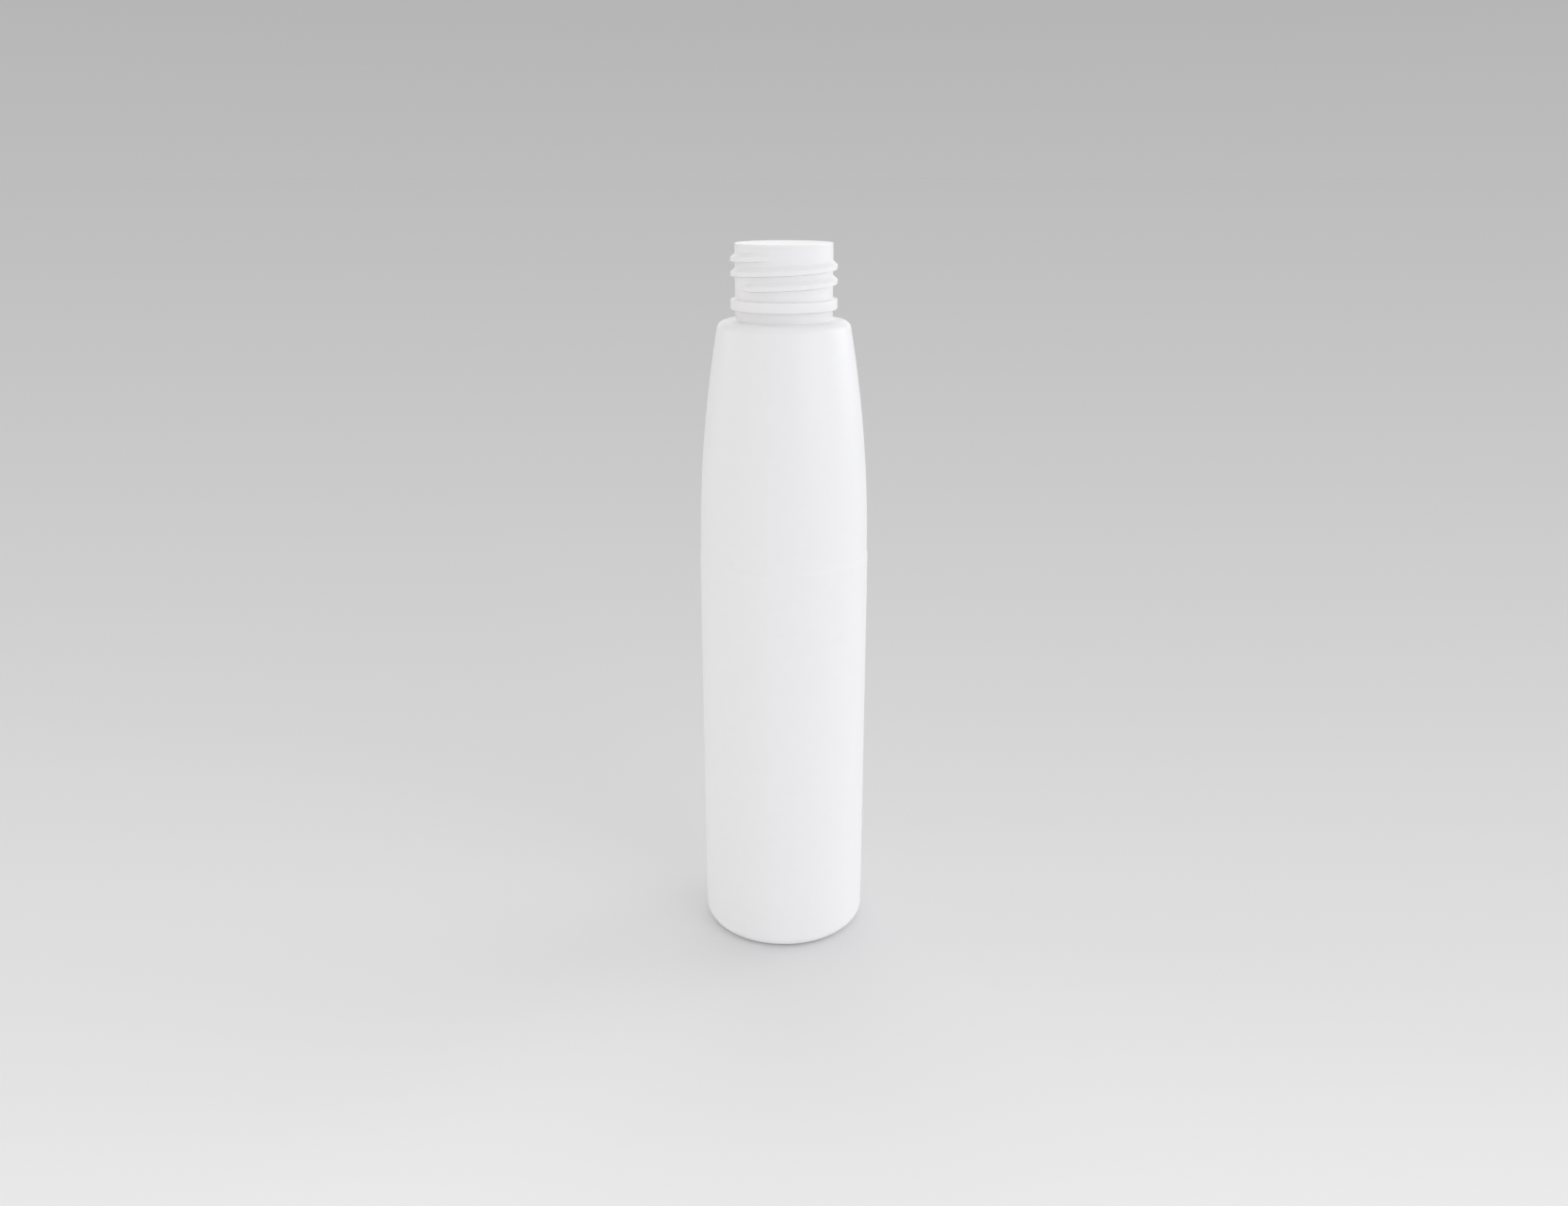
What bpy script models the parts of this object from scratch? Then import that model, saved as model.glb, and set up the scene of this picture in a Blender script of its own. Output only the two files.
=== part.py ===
"""White cosmetic bottle with a screw neck, its mouth closed by a peel-off membrane.

Metres, +Z up. The origin is the centre of the ring that the bottle stands on.
The bottle is one blow moulding: base, body, shoulder, bead, neck and thread share one wall.
"""
import math

import bmesh
import bpy

# Body, outside
BODY_DIAMETER = 0.0400
BODY_HEIGHT = 0.0979
WAIST_LEDGE = 0.0002
TAPER_HEIGHT = 0.0538
SHOULDER_DIAMETER = 0.0298
SHOULDER_ROUNDING = 0.0022

# Base, outside
BASE_ROUNDING = 0.0033
STANDING_RING_WIDTH = 0.0018
PUSH_UP_HEIGHT = 0.0024

# Walls and inner corners
BODY_WALL = 0.0011
BASE_WALL = 0.0014
WAIST_BLEND = 0.0010
SHOULDER_INNER_ROUNDING = 0.0009
BASE_INNER_ROUNDING = 0.0022

# Neck finish
NECK_DIAMETER = 0.0220
NECK_HEIGHT = 0.0162
NECK_WALL = 0.0018
BORE_ROUNDING = 0.0012
RIM_CHAMFER = 0.0003

# Bead under the thread
BEAD_DEPTH = 0.00105
BEAD_HEIGHT = 0.0023
BEAD_LIFT = 0.0024
BEAD_ROUNDING = 0.0003

# Thread: one start, right-handed, wound down from its upper tip
THREAD_DEPTH = 0.0010
THREAD_PITCH = 0.003175
THREAD_TURNS = 2.12
THREAD_DROP = 0.0023
THREAD_CREST = 0.0009
THREAD_UPPER_FLANK = 0.0009
THREAD_LOWER_FLANK = 0.0002
THREAD_ROOT_DEPTH = 0.0004
THREAD_TIP_DIP = 0.00005
THREAD_START_ANGLE = math.radians(-108)
THREAD_RUN_OUT_ANGLE = math.radians(23)

# Membrane over the mouth
SEAL_THICKNESS = 0.0003
SEAL_CLEARANCE = 0.0003
SEAL_EDGE_INSET = 0.0001
SEAL_DISH = 0.00015
SEAL_DISH_SLOPE = 0.0006

# Facets
FACETS = 64
TAPER_STEPS = 9
INNER_TAPER_STEPS = 6
DOME_STEPS = 5
INNER_DOME_STEPS = 4
ROUNDING_STEPS = 5
INNER_ROUNDING_STEPS = 3
BEAD_STEPS = 2
MERGE_DISTANCE = 0.000001
SHARP_ANGLE = math.radians(35)

# Surfaces
BOTTLE_COLOUR = (0.83, 0.83, 0.84, 1.0)
BOTTLE_ROUGHNESS = 0.38
SEAL_COLOUR = (0.86, 0.86, 0.87, 1.0)
SEAL_ROUGHNESS = 0.30

# Radii and levels that follow
BODY_RADIUS = BODY_DIAMETER / 2
BODY_INNER_RADIUS = BODY_RADIUS - BODY_WALL
TAPER_RADIUS = BODY_RADIUS - WAIST_LEDGE
SHOULDER_RADIUS = SHOULDER_DIAMETER / 2
NECK_RADIUS = NECK_DIAMETER / 2
BORE_RADIUS = NECK_RADIUS - NECK_WALL
BEAD_RADIUS = NECK_RADIUS + BEAD_DEPTH
SEAL_RADIUS = NECK_RADIUS - SEAL_EDGE_INSET
RING_RADIUS = BODY_RADIUS - BASE_ROUNDING - STANDING_RING_WIDTH
SHOULDER_LEVEL = BODY_HEIGHT + TAPER_HEIGHT
RIM_LEVEL = SHOULDER_LEVEL + NECK_HEIGHT
SEAL_LEVEL = RIM_LEVEL + SEAL_CLEARANCE

# Directions in the (radius, level) plane of an outline
OUT = 0.0
UP = math.pi / 2
IN = math.pi
DOWN = -math.pi / 2


def remove_old_objects():
    for old in list(bpy.data.objects):
        bpy.data.objects.remove(old, do_unlink=True)


def plastic(name, colour, roughness):
    material = bpy.data.materials.new(name)
    material.use_nodes = True
    surface = material.node_tree.nodes["Principled BSDF"]
    surface.inputs["Base Color"].default_value = colour
    surface.inputs["Roughness"].default_value = roughness
    surface.inputs["Metallic"].default_value = 0.0
    return material


def arc(centre, radius, start, end, steps):
    """Points of a round stretch of outline, both ends included."""
    turns = [start + (end - start) * step / steps for step in range(steps + 1)]
    return [
        (centre[0] + radius * math.cos(turn), centre[1] + radius * math.sin(turn))
        for turn in turns
    ]


def dome(edge_radius, edge_level, rise, steps):
    """Points of a shallow dome, from its centre on the axis out to its edge."""
    sphere = (edge_radius**2 + rise**2) / (2 * rise)
    lean = math.asin(edge_radius / sphere)
    points = arc((0.0, edge_level + rise - sphere), sphere, UP, UP - lean, steps)
    return [(0.0, edge_level + rise)] + points[1:]


def taper_arc():
    """Centre and radius of the upper body's side, which is upright where it leaves the waist."""
    draw_in = TAPER_RADIUS - SHOULDER_RADIUS
    radius = (TAPER_HEIGHT**2 + draw_in**2) / (2 * draw_in)
    return (TAPER_RADIUS - radius, BODY_HEIGHT), radius


def shoulder_corner(wall, rounding):
    """Centre of the rounding from side to shoulder, at a depth in the wall, and where it starts."""
    centre, radius = taper_arc()
    level = SHOULDER_LEVEL - wall - rounding
    span = radius - wall - rounding
    lean = math.asin((level - centre[1]) / span)
    return (centre[0] + span * math.cos(lean), level), lean


def base_outside():
    corner = (BODY_RADIUS - BASE_ROUNDING, BASE_ROUNDING)
    push_up = dome(RING_RADIUS, 0.0, PUSH_UP_HEIGHT, DOME_STEPS)
    return push_up + arc(corner, BASE_ROUNDING, DOWN, OUT, ROUNDING_STEPS)


def body_outside():
    centre, radius = taper_arc()
    corner, lean = shoulder_corner(0.0, SHOULDER_ROUNDING)
    side = arc(centre, radius, OUT, lean, TAPER_STEPS)
    shoulder = arc(corner, SHOULDER_ROUNDING, lean, UP, ROUNDING_STEPS)
    return [(BODY_RADIUS, BODY_HEIGHT)] + side + shoulder[1:]


def bead_outside():
    middle = BEAD_RADIUS - BEAD_ROUNDING
    low = SHOULDER_LEVEL + BEAD_LIFT
    high = low + BEAD_HEIGHT
    lower_edge = arc((middle, low + BEAD_ROUNDING), BEAD_ROUNDING, DOWN, OUT, BEAD_STEPS)
    upper_edge = arc((middle, high - BEAD_ROUNDING), BEAD_ROUNDING, OUT, UP, BEAD_STEPS)
    return [(NECK_RADIUS, low)] + lower_edge + upper_edge + [(NECK_RADIUS, high)]


def rim():
    return [
        (NECK_RADIUS, RIM_LEVEL),
        (BORE_RADIUS + RIM_CHAMFER, RIM_LEVEL),
        (BORE_RADIUS, RIM_LEVEL - RIM_CHAMFER),
    ]


def body_inside():
    """Down the bore, round under the shoulder and down the upper body's inner face."""
    centre, radius = taper_arc()
    corner, lean = shoulder_corner(BODY_WALL, SHOULDER_INNER_ROUNDING)
    bore_foot = (BORE_RADIUS + BORE_ROUNDING, SHOULDER_LEVEL - BODY_WALL + BORE_ROUNDING)
    bore = arc(bore_foot, BORE_ROUNDING, IN, IN + UP, INNER_ROUNDING_STEPS)
    shoulder = arc(corner, SHOULDER_INNER_ROUNDING, UP, lean, INNER_ROUNDING_STEPS)
    side = arc(centre, radius - BODY_WALL, lean, OUT, INNER_TAPER_STEPS)
    return bore + shoulder + side[1:] + [(BODY_INNER_RADIUS, BODY_HEIGHT - WAIST_BLEND)]


def base_inside():
    corner = (BODY_INNER_RADIUS - BASE_INNER_ROUNDING, BASE_WALL + BASE_INNER_ROUNDING)
    foot = arc(corner, BASE_INNER_ROUNDING, OUT, DOWN, INNER_ROUNDING_STEPS)
    push_up = dome(RING_RADIUS, BASE_WALL, PUSH_UP_HEIGHT, INNER_DOME_STEPS)
    return foot + push_up[::-1]


def bottle_outline():
    """The moulding's section, from the base's centre outside, over the rim, to its centre inside."""
    neck_foot = [(NECK_RADIUS, SHOULDER_LEVEL)]
    outside = base_outside() + body_outside() + neck_foot + bead_outside()
    return outside + rim() + body_inside() + base_inside()


def seal_outline():
    """The membrane's section: a ring that lies on the rim, and a dished middle over the bore."""
    under = [
        (0.0, SEAL_LEVEL - SEAL_DISH),
        (BORE_RADIUS - SEAL_DISH_SLOPE, SEAL_LEVEL - SEAL_DISH),
        (BORE_RADIUS, SEAL_LEVEL),
        (SEAL_RADIUS, SEAL_LEVEL),
    ]
    over = [(radius, level + SEAL_THICKNESS) for radius, level in reversed(under)]
    return under + over


def object_from(edit, name, material, origin=(0.0, 0.0, 0.0)):
    """Makes a smooth-shaded object from a finished bmesh, with its own origin at a point of it."""
    bmesh.ops.remove_doubles(edit, verts=edit.verts, dist=MERGE_DISTANCE)
    bmesh.ops.recalc_face_normals(edit, faces=edit.faces)
    bmesh.ops.translate(edit, verts=edit.verts, vec=[-value for value in origin])
    mesh = bpy.data.meshes.new(name)
    edit.to_mesh(mesh)
    edit.free()
    mesh.shade_smooth()
    mesh.set_sharp_from_angle(angle=SHARP_ANGLE)
    mesh.materials.append(material)
    made = bpy.data.objects.new(name, mesh)
    bpy.context.scene.collection.objects.link(made)
    return made


def turned(outline):
    """Spins an outline of (radius, level) points once round the Z axis."""
    edit = bmesh.new()
    line = [edit.verts.new((radius, 0.0, level)) for radius, level in outline]
    edges = [edit.edges.new(pair) for pair in zip(line, line[1:])]
    bmesh.ops.spin(
        edit,
        geom=line + edges,
        cent=(0.0, 0.0, 0.0),
        axis=(0.0, 0.0, 1.0),
        angle=2 * math.pi,
        steps=FACETS,
        use_merge=False,
        use_duplicate=False,
    )
    return edit


def thread_section(middle, share):
    """Four (radius, level) points of the ridge at a share of its full height, rooted in the neck."""
    height = share * (THREAD_DEPTH + THREAD_TIP_DIP) - THREAD_TIP_DIP
    high = middle + THREAD_CREST / 2
    low = middle - THREAD_CREST / 2
    foot_share = (height + THREAD_ROOT_DEPTH) / THREAD_DEPTH
    top = NECK_RADIUS + height
    root = NECK_RADIUS - THREAD_ROOT_DEPTH
    return [
        (root, high + foot_share * THREAD_UPPER_FLANK),
        (top, high),
        (top, low),
        (root, low - foot_share * THREAD_LOWER_FLANK),
    ]


def thread_ridge(material):
    """The helical ridge, swept in steps that fall halfway between the neck's own corners."""
    step = 2 * math.pi / FACETS
    first = math.floor(THREAD_START_ANGLE / step) * step + step / 2
    count = round(THREAD_TURNS * FACETS)
    edit = bmesh.new()
    rings = []
    for index in range(count + 1):
        wound = index * step
        left_over = (count - index) * step
        share = min(1.0, wound / THREAD_RUN_OUT_ANGLE, left_over / THREAD_RUN_OUT_ANGLE)
        middle = RIM_LEVEL - THREAD_DROP - THREAD_PITCH * wound / (2 * math.pi)
        turn = first - wound
        ring = [
            edit.verts.new((radius * math.cos(turn), radius * math.sin(turn), level))
            for radius, level in thread_section(middle, share)
        ]
        rings.append(ring)
    for ring, following in zip(rings, rings[1:]):
        for side in range(len(ring)):
            ahead = (side + 1) % len(ring)
            edit.faces.new((ring[side], ring[ahead], following[ahead], following[side]))
    edit.faces.new(rings[0])
    edit.faces.new(rings[-1])
    ridge = object_from(edit, "thread_ridge", material)
    ridge.hide_render = True
    ridge.display_type = "WIRE"
    return ridge


def make_bottle(material):
    bottle = object_from(turned(bottle_outline()), "bottle", material)
    join = bottle.modifiers.new("thread", "BOOLEAN")
    join.operation = "UNION"
    join.solver = "EXACT"
    join.object = thread_ridge(material)


def make_mouth_seal(material):
    """The membrane turns up about the edge that is let go last, at the back of the rim."""
    last_edge = (0.0, SEAL_RADIUS, SEAL_LEVEL)
    hinge = bpy.data.objects.new("seal_hinge", None)
    bpy.context.scene.collection.objects.link(hinge)
    hinge.location = last_edge
    seal = object_from(turned(seal_outline()), "mouth_seal", material, last_edge)
    seal.parent = hinge


def main():
    remove_old_objects()
    make_bottle(plastic("white_hdpe", BOTTLE_COLOUR, BOTTLE_ROUGHNESS))
    make_mouth_seal(plastic("white_seal_film", SEAL_COLOUR, SEAL_ROUGHNESS))


main()
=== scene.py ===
"""Looks of the white cosmetic bottle: a finely turned moulding, and the membrane over its mouth.

Metres in the row frame, +Z up. The bottle stands on the plane z = 0, round the Z axis.
"""

import math

import bpy
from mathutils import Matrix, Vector


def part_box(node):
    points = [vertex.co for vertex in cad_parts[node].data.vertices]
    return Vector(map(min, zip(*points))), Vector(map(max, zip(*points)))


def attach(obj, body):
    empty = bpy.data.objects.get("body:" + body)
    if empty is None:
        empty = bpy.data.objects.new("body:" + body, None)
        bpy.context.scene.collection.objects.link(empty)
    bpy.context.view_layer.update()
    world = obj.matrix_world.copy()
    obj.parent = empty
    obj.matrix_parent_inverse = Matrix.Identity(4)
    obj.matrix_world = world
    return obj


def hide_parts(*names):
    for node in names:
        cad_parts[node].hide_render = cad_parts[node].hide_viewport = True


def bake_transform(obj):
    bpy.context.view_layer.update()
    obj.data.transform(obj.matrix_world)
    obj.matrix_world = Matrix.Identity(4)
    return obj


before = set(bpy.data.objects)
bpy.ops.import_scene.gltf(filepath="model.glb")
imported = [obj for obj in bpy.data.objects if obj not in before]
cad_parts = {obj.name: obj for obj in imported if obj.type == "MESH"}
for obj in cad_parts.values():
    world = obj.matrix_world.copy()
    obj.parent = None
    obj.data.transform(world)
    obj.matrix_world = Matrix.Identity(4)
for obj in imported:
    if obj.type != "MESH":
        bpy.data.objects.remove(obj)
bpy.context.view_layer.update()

# Levels and radii that the frame gives
BODY_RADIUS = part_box("bottle")[1].x
RIM_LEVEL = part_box("bottle")[1].z
FILM_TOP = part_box("mouth_seal")[1].z

# Body and base, outside
BODY_HEIGHT = 0.0979
WAIST_LEDGE = 0.0002
WAIST_RISE = 0.0011
TAPER_HEIGHT = 0.0538
SHOULDER_RADIUS = 0.0149
SHOULDER_ROUNDING = 0.0022
BASE_ROUNDING = 0.0033
STANDING_RING_WIDTH = 0.0018
PUSH_UP_HEIGHT = 0.0024

# Walls and inner corners
BODY_WALL = 0.0011
BASE_WALL = 0.0014
SHOULDER_INNER_ROUNDING = 0.0009
BASE_INNER_ROUNDING = 0.0022
BORE_ROUNDING = 0.0012
WAIST_BLEND = 0.0010

# Neck
NECK_RADIUS = 0.0110
BORE_RADIUS = 0.0092
RIM_CHAMFER = 0.0003
BEAD_RADIUS = 0.01205
BEAD_HEIGHT = 0.0023
BEAD_LIFT = 0.0024

# Small roundings that the mould leaves on its edges
NECK_FOOT_ROUNDING = 0.00030
BEAD_EDGE_ROUNDING = 0.00025
BEAD_ROOT_ROUNDING = 0.00018
RIM_EDGE_ROUNDING = 0.000015
WAIST_ROUNDING = 0.0020
RING_ROUNDING = 0.00120

# Thread: one start, right-handed, wound down from its upper tip
THREAD_DEPTH = 0.0010
THREAD_PITCH = 0.003175
THREAD_TURNS = 2.118
THREAD_DROP = 0.0023
THREAD_CREST = 0.0009
THREAD_UPPER_FLANK = 0.0009
THREAD_LOWER_FLANK = 0.0002
THREAD_SOFTNESS = 0.00006
THREAD_START_ANGLE = math.radians(-108)
THREAD_RUN_OUT_TURNS = 23 / 360

# Marks of the two mould halves, which part on the XZ plane
PARTING_HEIGHT = 0.00004
PARTING_WIDTH = 0.00016
PINCH_LENGTH = 0.0240
PINCH_WIDTH = 0.0008
PINCH_EDGE = 0.0002
PINCH_HEIGHT = 0.0002

# Membrane over the mouth
FILM_THICKNESS = 0.0003
FILM_EDGE_INSET = 0.000005
FILM_EDGE_ROUNDING = 0.00006
FILM_DISH = 0.00012
FILM_DISH_SLOPE = 0.0009
FILM_DISH_ROUNDING = 0.0012
BOND_SINK = 0.00001
BOND_ROUNDING = 0.00001
PUCKER_COUNT = 28
PUCKER_HEIGHT = 0.000025
WAVE_SIZE = 0.0035
WAVE_HEIGHT = 0.00008
WAVY_SHARE = 0.8

# Fineness of the meshes
BOTTLE_COLUMNS = 240
FILM_COLUMNS = 180
COLUMN_CROWDING = 0.8
DOME_STEPS = 48
TAPER_STEPS = 28
ROUNDING_STEPS = 10
CORNER_STEPS = 5
INNER_STEPS = 6
THREAD_ROW_SPACING = 0.000045
FILM_ROW_SPACING = 0.0003
MERGE_DISTANCE = 0.000001

# Directions in the (radius, level) plane of an outline
OUT = 0.0
UP = math.pi / 2
IN = math.pi
DOWN = -math.pi / 2
FULL_TURN = 2 * math.pi

# Camera, as the photograph was taken
PICTURE_WIDTH = 1664
PICTURE_HEIGHT = 1280
SENSOR_WIDTH = 36.0
FIELD_OF_VIEW = math.radians(50)
CAMERA_SLOPE = 1 / 3
CAMERA_DISTANCE = 0.29767
CAMERA_LEVEL = 0.18338

# Floor and backdrop: one tone at the picture's top, rising evenly to another at its foot. Tones are
# written as a screen has them, and these numbers turn them into light
SCREEN_OFFSET = 0.055
SCREEN_POWER = 2.4
TOP_TONE = 0.711
FOOT_TONE = 0.923
DARKEST_TONE = 0.700
STEEPEST_SLOPE = 0.5
NEAREST_FLOOR = 0.05
FLOOR_SPREAD = 0.8
FLOOR_HALF_SIZE = 40.0

# How far light scatters inside the plastic, and the share of each colour in that
SCATTER_DEPTH = 0.00025
SCATTER_SHARES = (1.0, 1.0, 1.0)

# Light, where 1 is the level at which a colour renders as it is written
ROOM_LIGHT = 0.81
ROOM_COLOUR = (0.993, 0.988, 0.992)
FLOOR_LIGHT = 0.948

# Colour of the floor for the light that it only throws back
FLOOR_WHITE = 0.95

# Soft lamps: azimuth from the camera's side towards the right, height and spread, all in degrees,
# then strength and colour
LAMPS = {
    "back_lamp": (180, 8, 60, 0.60, (1.0, 1.0, 1.0)),
    "right_lamp": (115, 10, 45, 0.77, (0.98, 1.0, 0.98)),
    "front_right_lamp": (45, 10, 45, 0.76, (0.80, 0.84, 1.0)),
    "front_left_lamp": (315, 8, 45, 0.13, (1.0, 0.85, 0.60)),
    "left_lamp": (260, 8, 30, 0.24, (1.0, 1.0, 1.0)),
}


def arc(centre, radius, start, end, steps):
    """Points of a round stretch of outline, both ends included."""
    turns = [start + (end - start) * step / steps for step in range(steps + 1)]
    return [(centre[0] + radius * math.cos(t), centre[1] + radius * math.sin(t)) for t in turns]


def dome(edge_radius, edge_level, rise, steps):
    """Points of a shallow dome, from its centre on the axis out to its edge."""
    sphere = (edge_radius**2 + rise**2) / (2 * rise)
    lean = math.asin(edge_radius / sphere)
    points = arc((0.0, edge_level + rise - sphere), sphere, UP, UP - lean, steps)
    return [(0.0, edge_level + rise)] + points[1:]


def rounded(*corners):
    """A line through corners (radius, level, rounding), each one turned on its own rounding."""
    points = [corners[0][:2]]
    for before, corner, after in zip(corners, corners[1:], corners[2:]):
        here = Vector(corner[:2])
        back = (Vector(before[:2]) - here).normalized()
        ahead = (Vector(after[:2]) - here).normalized()
        half = back.angle(ahead) / 2
        middle = here + (back + ahead).normalized() * corner[2] / math.sin(half)
        first = here + back * corner[2] / math.tan(half) - middle
        last = here + ahead * corner[2] / math.tan(half) - middle
        start = math.atan2(first.y, first.x)
        sweep = math.remainder(math.atan2(last.y, last.x) - start, FULL_TURN)
        points += arc(middle, corner[2], start, start + sweep, CORNER_STEPS)
    return points + [corners[-1][:2]]


def filled(points, longest):
    """The same line, with points added wherever two are further apart than that."""
    dense = [points[0]]
    for start, end in zip(points, points[1:]):
        parts = max(1, math.ceil(math.dist(start, end) / longest))
        shares = [part / parts for part in range(1, parts + 1)]
        dense += [tuple(a + (b - a) * share for a, b in zip(start, end)) for share in shares]
    return dense


def taper_arc():
    """Centre and radius of the upper body's side, which is upright where it leaves the waist."""
    draw_in = BODY_RADIUS - WAIST_LEDGE - SHOULDER_RADIUS
    radius = (TAPER_HEIGHT**2 + draw_in**2) / (2 * draw_in)
    return (BODY_RADIUS - WAIST_LEDGE - radius, BODY_HEIGHT), radius


def shoulder_corner(wall, rounding):
    """Centre of the rounding from side to shoulder, at a depth in the wall, and where it starts."""
    centre, radius = taper_arc()
    level = BODY_HEIGHT + TAPER_HEIGHT - wall - rounding
    span = radius - wall - rounding
    lean = math.asin((level - centre[1]) / span)
    return (centre[0] + span * math.cos(lean), level), lean


def base_outside():
    """From the middle of the push-up, over the standing ring, to the foot of the wall."""
    ring_inside = BODY_RADIUS - BASE_ROUNDING - STANDING_RING_WIDTH
    foot = (BODY_RADIUS - BASE_ROUNDING, BASE_ROUNDING)
    push_up = dome(ring_inside, 0.0, PUSH_UP_HEIGHT, DOME_STEPS)
    ring = rounded((*push_up[-2], 0.0), (ring_inside, 0.0, RING_ROUNDING), (foot[0], 0.0, 0.0))
    return push_up[:-2] + ring[:-1] + arc(foot, BASE_ROUNDING, DOWN, OUT, ROUNDING_STEPS)


def body_outside():
    """Up the wall, over the waist and along the taper to the inner end of the shoulder's rounding."""
    centre, radius = taper_arc()
    corner, lean = shoulder_corner(0.0, SHOULDER_ROUNDING)
    side = arc(centre, radius, OUT, lean, TAPER_STEPS)
    waist = rounded(
        (BODY_RADIUS, BASE_ROUNDING, 0.0),
        (BODY_RADIUS, BODY_HEIGHT - WAIST_RISE, WAIST_ROUNDING),
        (*side[0], WAIST_ROUNDING),
        (*side[1], 0.0),
    )
    return waist[1:-1] + side[1:] + arc(corner, SHOULDER_ROUNDING, lean, UP, ROUNDING_STEPS)[1:]


def neck_outside():
    """From the shoulder up the neck and its bead, over the rim and into the bore."""
    shoulder = BODY_HEIGHT + TAPER_HEIGHT
    low = shoulder + BEAD_LIFT
    high = low + BEAD_HEIGHT
    first_crest = RIM_LEVEL - THREAD_DROP
    last_crest = first_crest - THREAD_TURNS * THREAD_PITCH
    thread_top = first_crest + THREAD_CREST / 2 + THREAD_UPPER_FLANK
    thread_foot = last_crest - THREAD_CREST / 2 - THREAD_LOWER_FLANK
    foot_and_bead = rounded(
        (SHOULDER_RADIUS - SHOULDER_ROUNDING, shoulder, 0.0),
        (NECK_RADIUS, shoulder, NECK_FOOT_ROUNDING),
        (NECK_RADIUS, low, BEAD_ROOT_ROUNDING),
        (BEAD_RADIUS, low, BEAD_EDGE_ROUNDING),
        (BEAD_RADIUS, high, BEAD_EDGE_ROUNDING),
        (NECK_RADIUS, high, BEAD_ROOT_ROUNDING),
        (NECK_RADIUS, thread_foot, 0.0),
    )
    threaded = filled([(NECK_RADIUS, thread_foot), (NECK_RADIUS, thread_top)], THREAD_ROW_SPACING)
    rim = rounded(
        (NECK_RADIUS, thread_top, 0.0),
        (NECK_RADIUS, RIM_LEVEL, RIM_EDGE_ROUNDING),
        (BORE_RADIUS + RIM_CHAMFER, RIM_LEVEL, RIM_EDGE_ROUNDING),
        (BORE_RADIUS, RIM_LEVEL - RIM_CHAMFER, RIM_EDGE_ROUNDING),
        (BORE_RADIUS, shoulder, 0.0),
    )
    return foot_and_bead[1:-1] + threaded + rim[1:-1]


def inside():
    """Down the bore, under the shoulder, down the side and across the base to the axis."""
    centre, radius = taper_arc()
    corner, lean = shoulder_corner(BODY_WALL, SHOULDER_INNER_ROUNDING)
    wall = BODY_RADIUS - BODY_WALL
    ceiling = BODY_HEIGHT + TAPER_HEIGHT - BODY_WALL
    bore_foot = (BORE_RADIUS + BORE_ROUNDING, ceiling + BORE_ROUNDING)
    foot = (wall - BASE_INNER_ROUNDING, BASE_WALL + BASE_INNER_ROUNDING)
    ring_inside = BODY_RADIUS - BASE_ROUNDING - STANDING_RING_WIDTH
    return (
        arc(bore_foot, BORE_ROUNDING, IN, IN + UP, INNER_STEPS)
        + arc(corner, SHOULDER_INNER_ROUNDING, UP, lean, INNER_STEPS)
        + arc(centre, radius - BODY_WALL, lean, OUT, INNER_STEPS)[1:]
        + [(wall, BODY_HEIGHT - WAIST_BLEND)]
        + arc(foot, BASE_INNER_ROUNDING, OUT, DOWN, INNER_STEPS)
        + dome(ring_inside, BASE_WALL, PUSH_UP_HEIGHT, INNER_STEPS)[::-1]
    )


def film_outline():
    """From the axis under the membrane, round the ring that bonds it to the rim, and over its top."""
    under = FILM_TOP - FILM_THICKNESS
    land = RIM_LEVEL - BOND_SINK
    edge = NECK_RADIUS - FILM_EDGE_INSET
    bond_inside = BORE_RADIUS + RIM_CHAMFER
    slope_end = bond_inside - FILM_DISH_SLOPE / 4
    slope_start = slope_end - FILM_DISH_SLOPE
    line = rounded(
        (0.0, under - FILM_DISH, 0.0),
        (slope_start, under - FILM_DISH, FILM_DISH_ROUNDING),
        (slope_end, under, FILM_DISH_ROUNDING / 4),
        (bond_inside, under, BOND_ROUNDING),
        (bond_inside, land, BOND_ROUNDING),
        (edge, land, BOND_ROUNDING),
        (edge, FILM_TOP, FILM_EDGE_ROUNDING),
        (slope_end, FILM_TOP, FILM_DISH_ROUNDING),
        (slope_start, FILM_TOP - FILM_DISH, FILM_DISH_ROUNDING),
        (0.0, FILM_TOP - FILM_DISH, 0.0),
    )
    return filled(line, FILM_ROW_SPACING)


class Signal:
    """What a node gives out. A formula of signals adds the Math nodes that work it out."""

    def __init__(self, tree, socket):
        self.tree = tree
        self.socket = socket

    def by(self, operation, *others):
        names = dict(enumerate((self, *others)))
        return add(self.tree, "ShaderNodeMath", names, operation=operation)

    def __add__(self, other):
        return self.by("ADD", other)

    def __sub__(self, other):
        return self.by("SUBTRACT", other)

    def __mul__(self, other):
        return self.by("MULTIPLY", other)

    def __truediv__(self, other):
        return self.by("DIVIDE", other)

    def within(self, low, high):
        return self.by("MAXIMUM", low).by("MINIMUM", high)


def feed(tree, socket, value):
    """Links a signal to a socket, or sets the socket to a plain value."""
    if isinstance(value, Signal):
        tree.links.new(value.socket, socket)
    else:
        socket.default_value = value


def add(tree, kind, inputs=None, output=0, **settings):
    """Adds a node, sets it up, feeds its inputs by name or number, and gives one of its outputs."""
    node = tree.nodes.new(kind)
    for name, value in settings.items():
        setattr(node, name, value)
    for name, value in (inputs or {}).items():
        feed(tree, node.inputs[name], value)
    return Signal(tree, node.outputs[output])


def parts_of(vector):
    """The x, y and z of a vector signal."""
    node = add(vector.tree, "ShaderNodeSeparateXYZ", {0: vector}).socket.node
    return [Signal(vector.tree, socket) for socket in node.outputs]


def vector_of(tree, x, y, z):
    return add(tree, "ShaderNodeCombineXYZ", {0: x, 1: y, 2: z})


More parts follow.
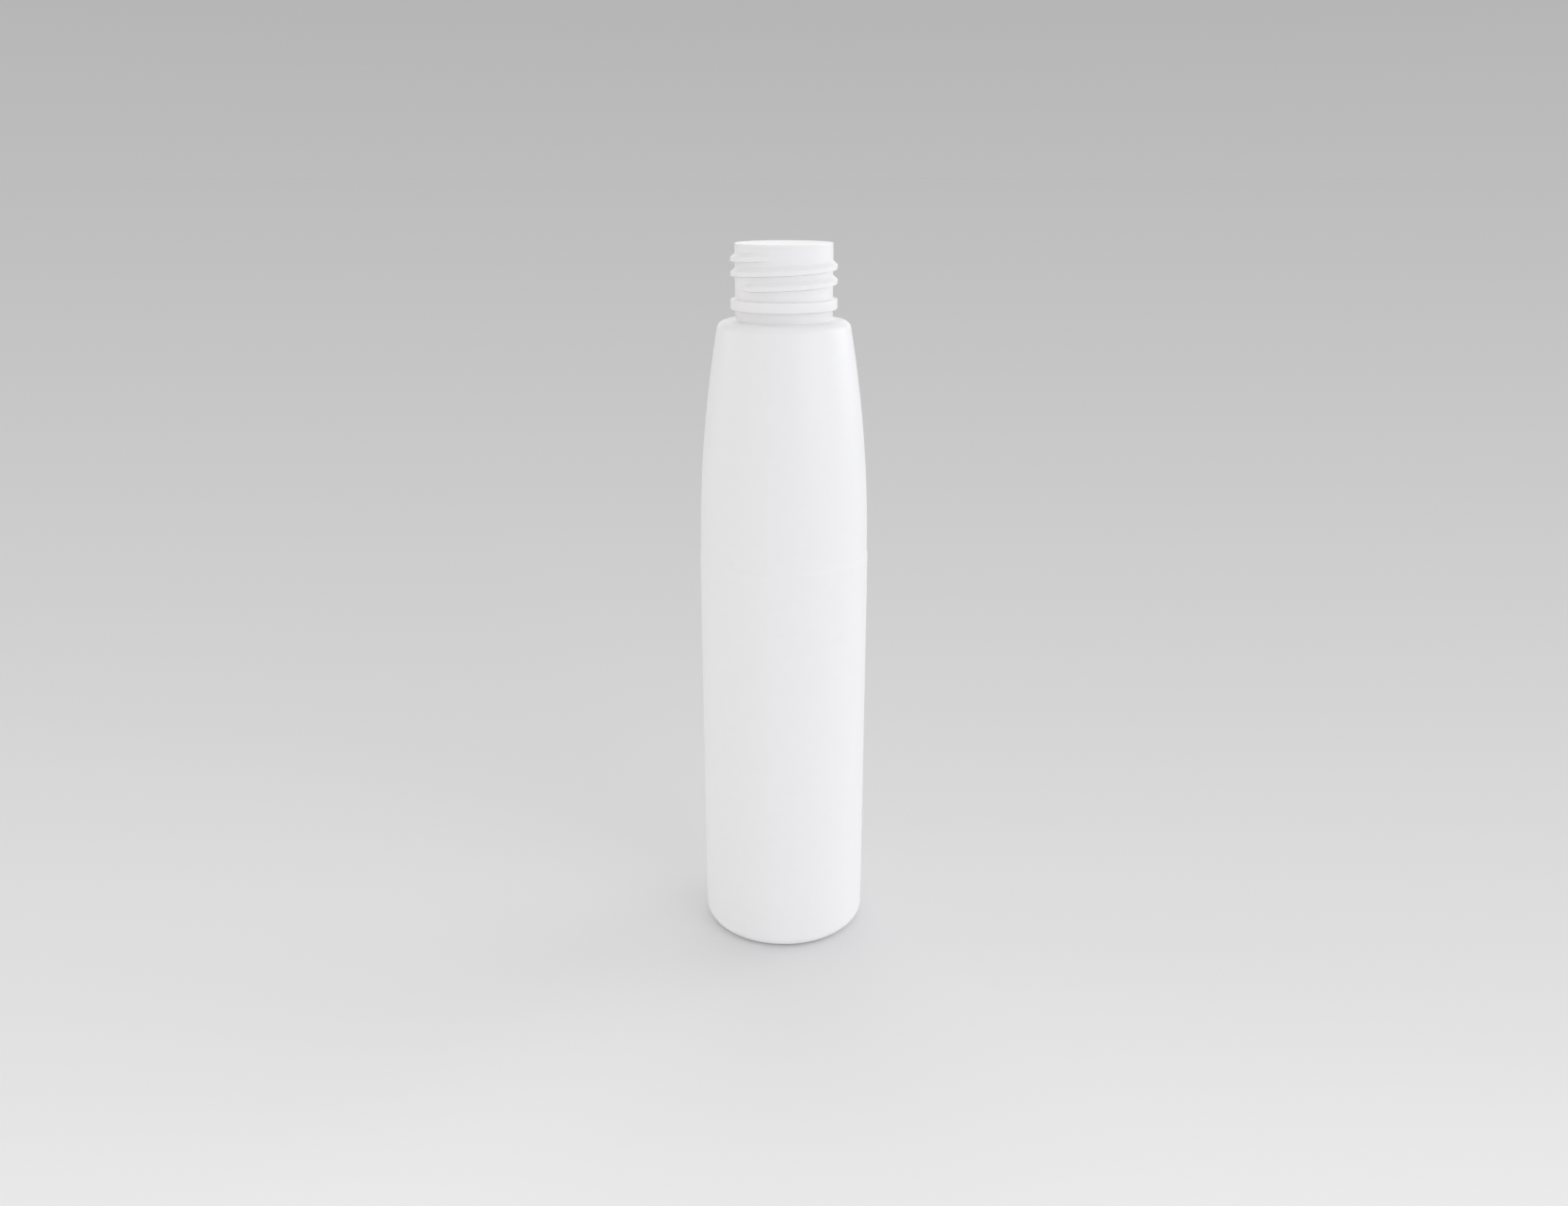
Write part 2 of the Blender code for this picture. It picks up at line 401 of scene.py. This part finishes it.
def new_tree(kind, name, inputs, outputs):
    """A node tree with named inputs {name: (socket kind, value)} and outputs {name: socket kind}."""
    tree = bpy.data.node_groups.new(name, kind)
    for socket_name, (socket_kind, value) in inputs.items():
        socket = tree.interface.new_socket(socket_name, in_out="INPUT", socket_type=socket_kind)
        if value is not None:
            socket.default_value = value
    for socket_name, socket_kind in outputs.items():
        tree.interface.new_socket(socket_name, in_out="OUTPUT", socket_type=socket_kind)
    given = tree.nodes.new("NodeGroupInput")
    signals = {socket.name: Signal(tree, socket) for socket in given.outputs if socket.name}
    return tree, signals, tree.nodes.new("NodeGroupOutput")


def lengths(**values):
    """Inputs of a tree that are plain numbers; a name's underscores become spaces."""
    return {
        name.replace("_", " ").capitalize(): ("NodeSocketFloat", value)
        for name, value in values.items()
    }


def turned_form():
    """Tree that turns an outline round the Z axis, its columns crowded towards the parting plane."""
    tree, given, result = new_tree(
        "GeometryNodeTree",
        "turned form",
        {
            "Outline": ("NodeSocketGeometry", None),
            "Columns": ("NodeSocketInt", 64),
            **lengths(crowding=0.0),
        },
        {"Form": "NodeSocketGeometry"},
    )
    rows = add(
        tree, "GeometryNodeAttributeDomainSize", {"Geometry": given["Outline"]}, "Point Count"
    )
    sheet = add(
        tree,
        "GeometryNodeMeshGrid",
        {"Vertices X": given["Columns"] + 1, "Vertices Y": rows},
    )
    index = add(tree, "GeometryNodeInputIndex")
    row = index.by("MODULO", rows)
    turn = (index / rows).by("FLOOR") / given["Columns"] * FULL_TURN
    angle = turn - (turn * 2).by("SINE") * given["Crowding"] / 2
    place = {"Geometry": given["Outline"], "Index": row}
    point = add(
        tree,
        "GeometryNodeSampleIndex",
        {**place, "Value": add(tree, "GeometryNodeInputPosition")},
        data_type="FLOAT_VECTOR",
    )
    outer_share = add(
        tree,
        "GeometryNodeSampleIndex",
        {**place, "Value": add(tree, "GeometryNodeInputNamedAttribute", {"Name": "outer"})},
        data_type="FLOAT",
    )
    radius, _, level = parts_of(point)
    kept = add(
        tree,
        "GeometryNodeStoreNamedAttribute",
        {"Geometry": sheet, "Name": "outer", "Value": outer_share},
        data_type="FLOAT",
        domain="POINT",
    )
    spun = add(
        tree,
        "GeometryNodeSetPosition",
        {
            "Geometry": kept,
            "Position": vector_of(
                tree, angle.by("COSINE") * radius, angle.by("SINE") * radius, level
            ),
        },
    )
    closed = add(
        tree, "GeometryNodeMergeByDistance", {"Geometry": spun, "Distance": MERGE_DISTANCE}
    )
    feed(tree, result.inputs["Form"], closed)
    return tree


def turned(given):
    """A turned form inside another tree, from that tree's own inputs."""
    tree = given["Outline"].tree
    names = ("Outline", "Columns", "Crowding")
    return add(
        tree,
        "GeometryNodeGroup",
        {name: given[name] for name in names},
        node_tree=bpy.data.node_groups["turned form"],
    )


def outer_points(tree):
    """1 on the outer face of a turned form and 0 on its inner face."""
    return add(tree, "GeometryNodeInputNamedAttribute", {"Name": "outer"})


def outwards(tree, x, y):
    """The unit direction away from the Z axis."""
    flat = vector_of(tree, x, y, 0.0)
    return add(tree, "ShaderNodeVectorMath", {0: flat}, operation="NORMALIZE")


def scaled(direction, length):
    return add(
        direction.tree, "ShaderNodeVectorMath", {0: direction, "Scale": length}, operation="SCALE"
    )


def moved(form, offset):
    return add(form.tree, "GeometryNodeSetPosition", {"Geometry": form, "Offset": offset})


def bell(distance, width):
    """1 in the middle of a rounded ridge, falling away within its width."""
    return (distance * distance / width / width * -1).by("EXPONENT")


def one_over(value):
    return add(value.tree, "ShaderNodeMath", {0: 1.0, 1: value}, operation="DIVIDE")


def fade(value, start, end):
    """0 at start and 1 at end, with a soft step between."""
    return add(
        value.tree,
        "ShaderNodeMapRange",
        {"Value": value, "From Min": start, "From Max": end},
        interpolation_type="SMOOTHSTEP",
    )


def thread_height(given, angle, level):
    """How far the thread stands off the neck. Its two tips sink into the wall, as wide as ever."""
    drop = given["Rim level"] - level
    started = ((angle * -1 + THREAD_START_ANGLE) / FULL_TURN).by("FRACT")
    nearest = ((drop - given["Thread drop"]) / given["Thread pitch"] - started).by("ROUND")
    wound = started + nearest
    share = (
        (wound / given["Run out turns"])
        .by("MINIMUM", (given["Thread turns"] - wound) / given["Run out turns"])
        .within(0.0, 1.0)
    )
    across = drop - given["Thread drop"] - wound * given["Thread pitch"]
    half_crest = given["Thread crest"] / 2
    depth = given["Thread depth"]
    top = depth * share
    upper = (across + half_crest) * depth / given["Upper flank"] + top
    lower = (half_crest - across) * depth / given["Lower flank"] + top
    softness = given["Thread softness"] * share
    return (
        upper.by("SMOOTH_MIN", lower, softness)
        .by("SMOOTH_MIN", top, softness)
        .by("SMOOTH_MAX", 0.0, softness)
    )


def finished(form, material, result):
    """Ends a tree: plain smooth mesh in one material."""
    tree = form.tree
    real = add(tree, "GeometryNodeRealizeInstances", {"Geometry": form})
    smooth = add(tree, "GeometryNodeSetShadeSmooth", {"Geometry": real})
    painted = add(tree, "GeometryNodeSetMaterial", {"Geometry": smooth, "Material": material})
    feed(tree, result.inputs["Form"], painted)
    return tree


def moulding_tree():
    """Tree of the bottle: the turned wall, its thread, its parting line and its pinch-off."""
    tree, given, result = new_tree(
        "GeometryNodeTree",
        "blow moulding",
        {
            "Outline": ("NodeSocketGeometry", None),
            "Material": ("NodeSocketMaterial", None),
            "Columns": ("NodeSocketInt", BOTTLE_COLUMNS),
            **lengths(
                crowding=COLUMN_CROWDING,
                rim_level=RIM_LEVEL,
                shoulder_level=BODY_HEIGHT + TAPER_HEIGHT,
                thread_depth=THREAD_DEPTH,
                thread_pitch=THREAD_PITCH,
                thread_turns=THREAD_TURNS,
                thread_drop=THREAD_DROP,
                thread_crest=THREAD_CREST,
                upper_flank=THREAD_UPPER_FLANK,
                lower_flank=THREAD_LOWER_FLANK,
                thread_softness=THREAD_SOFTNESS,
                run_out_turns=THREAD_RUN_OUT_TURNS,
                parting_height=PARTING_HEIGHT,
                parting_width=PARTING_WIDTH,
                pinch_length=PINCH_LENGTH,
                pinch_width=PINCH_WIDTH,
                pinch_edge=PINCH_EDGE,
                pinch_height=PINCH_HEIGHT,
            ),
        },
        {"Form": "NodeSocketGeometry"},
    )
    x, y, level = parts_of(add(tree, "GeometryNodeInputPosition"))
    outer = outer_points(tree)
    ridge = thread_height(given, y.by("ARCTAN2", x), level) * outer
    threaded = moved(turned(given), scaled(outwards(tree, x, y), ridge))
    below_rim = fade(level, given["Rim level"], given["Shoulder level"])
    sink = (bell(y, given["Parting width"]) - 1.0) * given["Parting height"] * below_rim * outer
    parted = moved(threaded, scaled(add(tree, "GeometryNodeInputNormal"), sink))
    half_length = given["Pinch length"] / 2
    half_width = given["Pinch width"] / 2
    ends = fade(x.by("ABSOLUTE"), half_length, half_length - given["Pinch edge"])
    sides = fade(y.by("ABSOLUTE"), half_width, half_width - given["Pinch edge"])
    under = level.by("LESS_THAN", PUSH_UP_HEIGHT + BASE_WALL / 2)
    scar = ends * sides * under * outer * given["Pinch height"] * -1
    pinched = moved(parted, vector_of(tree, 0.0, 0.0, scar))
    return finished(pinched, given["Material"], result)


def membrane_tree():
    """Tree of the membrane: a turned disc, puckered over the rim and slightly wavy over the bore."""
    tree, given, result = new_tree(
        "GeometryNodeTree",
        "bonded membrane",
        {
            "Outline": ("NodeSocketGeometry", None),
            "Material": ("NodeSocketMaterial", None),
            "Columns": ("NodeSocketInt", FILM_COLUMNS),
            **lengths(
                crowding=0.0,
                bore_radius=BORE_RADIUS,
                pucker_count=PUCKER_COUNT,
                pucker_height=PUCKER_HEIGHT,
                wave_size=WAVE_SIZE,
                wave_height=WAVE_HEIGHT,
            ),
        },
        {"Form": "NodeSocketGeometry"},
    )
    x, y, level = parts_of(add(tree, "GeometryNodeInputPosition"))
    radius = (x * x + y * y).by("SQRT")
    over_bore = fade(radius, given["Bore radius"], given["Bore radius"] * WAVY_SHARE)
    folds = (y.by("ARCTAN2", x) * given["Pucker count"]).by("SINE") * 0.5 - 0.5
    flat_place = vector_of(tree, x, y, 0.0)
    noise = add(
        tree,
        "ShaderNodeTexNoise",
        {"Vector": scaled(flat_place, one_over(given["Wave size"])), "Detail": 1.0},
    )
    waves = noise * over_bore * given["Wave height"] * -1
    puckers = folds * (over_bore * -1 + 1.0) * noise * given["Pucker height"]
    shaped = moved(turned(given), vector_of(tree, 0.0, 0.0, waves + puckers))
    return finished(shaped, given["Material"], result)


def outline_object(name, points, outer_count):
    """An outline in the XZ plane; its first points, up to a count, are the form's outer face."""
    mesh = bpy.data.meshes.new(name)
    mesh.from_pydata([(radius, 0.0, level) for radius, level in points], [], [])
    outer = mesh.attributes.new("outer", "FLOAT", "POINT")
    outer.data.foreach_set("value", [float(index < outer_count) for index in range(len(points))])
    made = bpy.data.objects.new(name, mesh)
    bpy.context.scene.collection.objects.link(made)
    return made


def shaped(name, points, outer_count, tree, material):
    """Runs a tree on an outline and keeps its result as a plain mesh object."""
    made = outline_object(name, points, outer_count)
    modifier = made.modifiers.new("shape", "NODES")
    modifier.node_group = tree
    inputs = [item for item in tree.interface.items_tree if item.in_out == "INPUT"]
    identifiers = {item.name: item.identifier for item in inputs}
    modifier[identifiers["Material"]] = material
    evaluated = made.evaluated_get(bpy.context.evaluated_depsgraph_get())
    mesh = bpy.data.meshes.new_from_object(evaluated)
    mesh.materials.pop(index=0)
    made.modifiers.remove(modifier)
    made.data = mesh
    return made


def moulded_skin():
    """Shader group of a moulded surface: fine grain, drawn-out streaks and a faint cloud in the tone."""
    tree, given, result = new_tree(
        "ShaderNodeTree",
        "moulded skin",
        {
            "Place": ("NodeSocketVector", None),
            "Colour": ("NodeSocketColor", (1.0, 1.0, 1.0, 1.0)),
            **lengths(
                tone_spread=0.02,
                roughness=0.4,
                roughness_spread=0.05,
                grain_size=0.0008,
                streak_width=0.0006,
                streak_length=0.02,
                cloud_size=0.012,
                streak_share=0.3,
            ),
        },
        {"Colour": "NodeSocketColor", "Roughness": "NodeSocketFloat", "Height": "NodeSocketFloat"},
    )
    place = given["Place"]
    grain = add(
        tree,
        "ShaderNodeTexNoise",
        {"Vector": scaled(place, one_over(given["Grain size"])), "Detail": 2.0},
    )
    x, y, z = parts_of(place)
    drawn = vector_of(
        tree,
        x / given["Streak width"],
        y / given["Streak width"],
        z / given["Streak length"],
    )
    streak = add(tree, "ShaderNodeTexNoise", {"Vector": drawn, "Detail": 2.0})
    cloud = add(
        tree,
        "ShaderNodeTexNoise",
        {"Vector": scaled(place, one_over(given["Cloud size"])), "Detail": 1.0},
    )
    tone = cloud * given["Tone spread"] * -1 + 1.0
    feed(tree, result.inputs["Colour"], scaled(given["Colour"], tone))
    roughness = (streak - 0.5) * given["Roughness spread"] + given["Roughness"]
    feed(tree, result.inputs["Roughness"], roughness)
    rest = given["Streak share"] * -1 + 1.0
    feed(tree, result.inputs["Height"], streak * given["Streak share"] + grain * rest)
    return tree


def plastic(name, colour, relief, specular_level, translucency, **skin):
    """A moulded plastic: the skin group feeds colour, roughness and bump of one plain shader."""
    material = bpy.data.materials.new(name)
    material.use_nodes = True
    tree = material.node_tree
    surface = tree.nodes["Principled BSDF"]
    place = add(tree, "ShaderNodeTexCoord", output="Object")
    inputs = {label.replace("_", " ").capitalize(): value for label, value in skin.items()}
    group = add(
        tree,
        "ShaderNodeGroup",
        {"Place": place, "Colour": (*colour, 1.0), **inputs},
        node_tree=bpy.data.node_groups["moulded skin"],
    )
    outputs = group.socket.node.outputs
    bump = add(
        tree, "ShaderNodeBump", {"Distance": relief, "Height": Signal(tree, outputs["Height"])}
    )
    feed(tree, surface.inputs["Base Color"], Signal(tree, outputs["Colour"]))
    feed(tree, surface.inputs["Roughness"], Signal(tree, outputs["Roughness"]))
    feed(tree, surface.inputs["Normal"], bump)
    surface.inputs["Specular IOR Level"].default_value = specular_level
    surface.inputs["Subsurface Weight"].default_value = translucency
    surface.inputs["Subsurface Radius"].default_value = SCATTER_SHARES
    surface.inputs["Subsurface Scale"].default_value = SCATTER_DEPTH
    return material


def backdrop_tone():
    """Shader group: the brightness of floor or backdrop along a line of sight with some slope."""
    tree, given, result = new_tree(
        "ShaderNodeTree",
        "backdrop tone",
        lengths(slope=0.0),
        {"Brightness": "NodeSocketFloat"},
    )
    slope = given["Slope"].by("MINIMUM", STEEPEST_SLOPE)
    down = (slope + CAMERA_SLOPE) / (slope * CAMERA_SLOPE - 1.0)
    share = down / (2 * math.tan(FIELD_OF_VIEW / 2)) + 0.5
    tone = (share * (FOOT_TONE - TOP_TONE) + TOP_TONE).within(DARKEST_TONE, FOOT_TONE)
    light = ((tone + SCREEN_OFFSET) / (1 + SCREEN_OFFSET)).by("POWER", SCREEN_POWER)
    feed(tree, result.inputs["Brightness"], light)
    return tree


def brightness_at(tree, slope):
    group = bpy.data.node_groups["backdrop tone"]
    return add(tree, "ShaderNodeGroup", {"Slope": slope}, node_tree=group)


def seen_rays(tree):
    """1 where floor or backdrop is seen, mirrored or looked through, and 0 where it only gives light."""
    rays = tree.nodes.new("ShaderNodeLightPath").outputs
    return (
        Signal(tree, rays["Is Camera Ray"])
        .by("MAXIMUM", Signal(tree, rays["Is Glossy Ray"]))
        .by("MAXIMUM", Signal(tree, rays["Is Transmission Ray"]))
    )


def floor_material():
    """Matt pale floor whose tone falls away into the distance, as evenly as the photograph's."""
    material = bpy.data.materials.new("studio_floor")
    material.use_nodes = True
    tree = material.node_tree
    tree.nodes.clear()
    x, y, _ = parts_of(add(tree, "ShaderNodeTexCoord", output="Object"))
    ahead = y + CAMERA_DISTANCE
    around = (x * x + y * y).by("SQRT") * FLOOR_SPREAD
    distance = ahead.by("MAXIMUM", around).by("MAXIMUM", NEAREST_FLOOR)
    slope = add(tree, "ShaderNodeMath", {0: -CAMERA_LEVEL, 1: distance}, operation="DIVIDE")
    seen = seen_rays(tree)
    tone = brightness_at(tree, slope) / FLOOR_LIGHT * seen + (seen * -1 + 1.0) * FLOOR_WHITE
    surface = add(tree, "ShaderNodeBsdfDiffuse", {"Color": vector_of(tree, tone, tone, tone)})
    feed(tree, tree.nodes.new("ShaderNodeOutputMaterial").inputs["Surface"], surface)
    return material


def make_floor():
    half = FLOOR_HALF_SIZE
    mesh = bpy.data.meshes.new("studio_floor")
    corners = [(-half, -half, 0.0), (half, -half, 0.0), (half, half, 0.0), (-half, half, 0.0)]
    mesh.from_pydata(corners, [], [(0, 1, 2, 3)])
    mesh.materials.append(floor_material())
    floor = bpy.data.objects.new("studio_floor", mesh)
    bpy.context.scene.collection.objects.link(floor)


def make_world():
    """Soft white room light, with the plain backdrop wherever it is seen, mirrored or looked through."""
    world = bpy.data.worlds.new("studio")
    world.use_nodes = True
    bpy.context.scene.world = world
    tree = world.node_tree
    tree.nodes.clear()
    x, y, z = parts_of(add(tree, "ShaderNodeTexCoord", output="Generated"))
    backdrop = brightness_at(tree, z / (x * x + y * y).by("SQRT"))
    seen = seen_rays(tree)
    unseen = seen * -1 + 1.0
    channels = [backdrop * seen + unseen * (ROOM_LIGHT * share) for share in ROOM_COLOUR]
    light = add(tree, "ShaderNodeBackground", {"Color": vector_of(tree, *channels)})
    feed(tree, tree.nodes.new("ShaderNodeOutputWorld").inputs["Surface"], light)


def make_lamp(name, azimuth, height, spread, strength, colour):
    """A soft far lamp that shines on the bottle from an azimuth and a height."""
    lamp = bpy.data.lights.new(name, "SUN")
    lamp.angle = math.radians(spread)
    lamp.energy = strength
    lamp.color = colour
    around = math.radians(azimuth)
    rise = math.radians(height)
    towards = Vector((math.sin(around), -math.cos(around), math.tan(rise)))
    holder = bpy.data.objects.new(name, lamp)
    holder.rotation_euler = towards.to_track_quat("Z", "Y").to_euler()
    bpy.context.scene.collection.objects.link(holder)


def make_camera():
    camera = bpy.data.cameras.new("camera")
    camera.sensor_width = SENSOR_WIDTH
    height_on_sensor = SENSOR_WIDTH * PICTURE_HEIGHT / PICTURE_WIDTH
    camera.lens = height_on_sensor / 2 / math.tan(FIELD_OF_VIEW / 2)
    holder = bpy.data.objects.new("camera", camera)
    holder.location = (0.0, -CAMERA_DISTANCE, CAMERA_LEVEL)
    holder.rotation_euler = (math.pi / 2 - math.atan(CAMERA_SLOPE), 0.0, 0.0)
    bpy.context.scene.collection.objects.link(holder)
    bpy.context.scene.camera = holder


def make_studio():
    bpy.context.scene.view_settings.view_transform = "Standard"
    backdrop_tone()
    make_floor()
    make_world()
    for name, facts in LAMPS.items():
        make_lamp(name, *facts)
    make_camera()


def make_bottle():
    outside = base_outside() + body_outside() + neck_outside()
    white = plastic(
        "white_hdpe",
        colour=(0.850, 0.845, 0.845),
        relief=0.00002,
        specular_level=0.5,
        translucency=0.4,
        tone_spread=0.02,
        roughness=0.38,
        roughness_spread=0.06,
        grain_size=0.0007,
        streak_width=0.0009,
        streak_length=0.03,
        cloud_size=0.012,
        streak_share=0.35,
    )
    bottle = shaped("moulded_bottle", outside + inside(), len(outside), moulding_tree(), white)
    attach(bottle, "bottle")
    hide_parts("bottle")


def make_membrane():
    outline = film_outline()
    # The film's white is set a little whiter than the bottle's. Part of that is its own colour, and part
    # is painted light that stands in for the brighter top which light from above gives it.
    film_white_with_painted_light = plastic(
        "white_seal_film",
        colour=(0.855, 0.852, 0.852),
        relief=0.000006,
        specular_level=0.5,
        translucency=0.3,
        tone_spread=0.015,
        roughness=0.30,
        roughness_spread=0.05,
        grain_size=0.0003,
        streak_width=0.0012,
        streak_length=0.0012,
        cloud_size=0.006,
        streak_share=0.6,
    )
    membrane = shaped("mouth_membrane", outline, len(outline), membrane_tree(), film_white_with_painted_light)
    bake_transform(membrane)
    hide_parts("mouth_seal")


make_studio()
turned_form()
moulded_skin()
make_bottle()
make_membrane()
